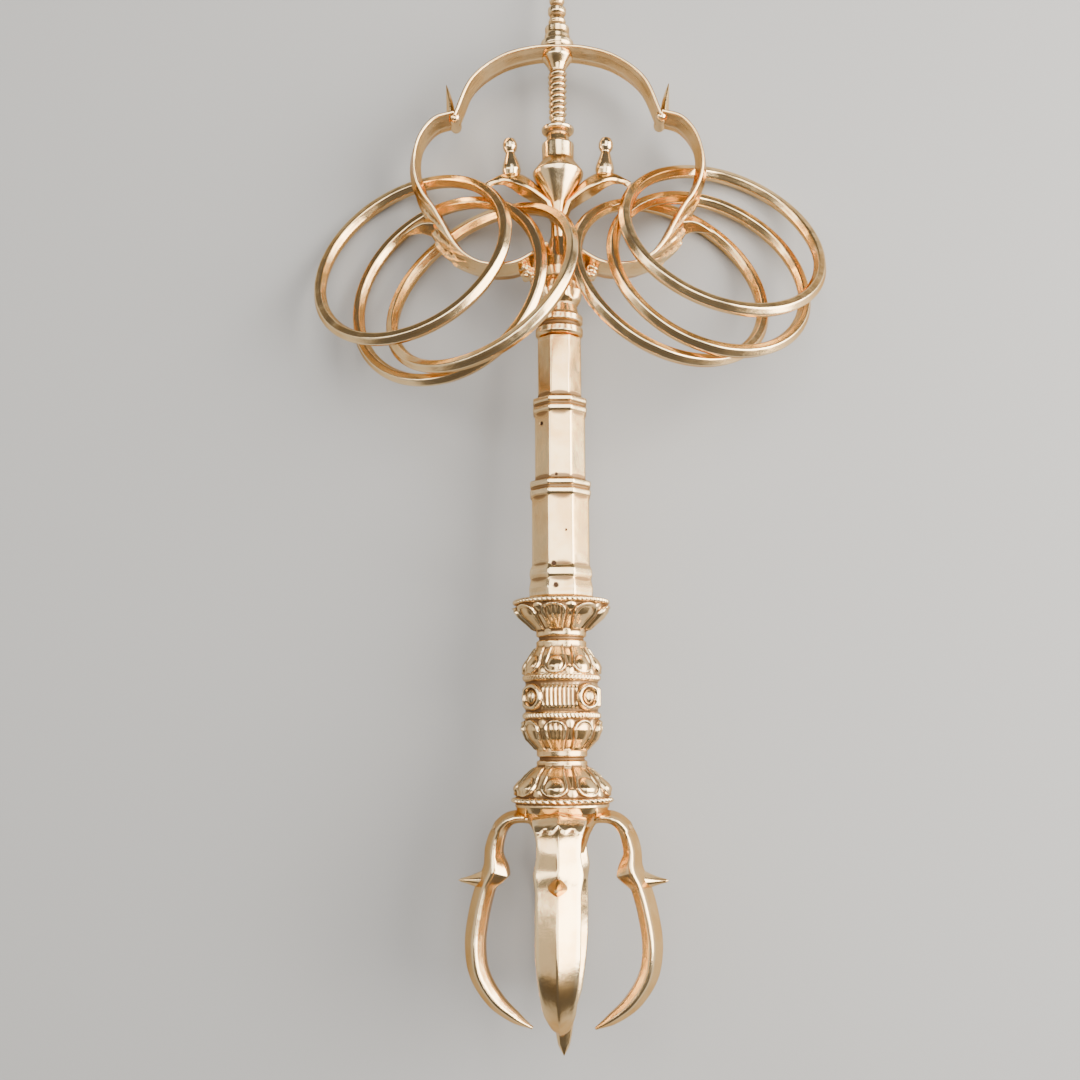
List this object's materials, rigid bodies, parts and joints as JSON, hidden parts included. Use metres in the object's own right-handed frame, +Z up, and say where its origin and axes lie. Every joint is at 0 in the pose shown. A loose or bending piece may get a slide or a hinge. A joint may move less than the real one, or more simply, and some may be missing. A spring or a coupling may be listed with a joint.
{
  "type": "ringed monk staff",
  "caption": "Short gilt brass monk staff with a lobed head ring, loose rattling rings, stepped octagonal shaft, lotus grip and pronged end.",
  "frame": {"origin": "centre of the whole object's outline, on the surface that it lies on", "axes": "+Y along the staff towards the head ring, +X to the right when seen from above with the head away, +Z up"},
  "size_m": [0.1146, 0.2396, 0.0429],
  "materials": {
    "gilt_head": "polished gilt with brown in the recesses",
    "gilt_shaft": "polished gilt with a few dark casting pits",
    "gilt_hilt": "polished gilt, brown patina in the carving",
    "gilt_rings": "polished, hand filed ridges"
  },
  "bodies": {
    "root": {"staff_head": "gilt_head", "staff_shaft": "gilt_shaft", "vajra_hilt": "gilt_hilt", "loose_ring_left_1": "gilt_rings", "loose_ring_left_2": "gilt_rings", "loose_ring_left_3": "gilt_rings", "loose_ring_right_1": "gilt_rings", "loose_ring_right_2": "gilt_rings", "loose_ring_right_3": "gilt_rings"}
  },
  "joints": []
}
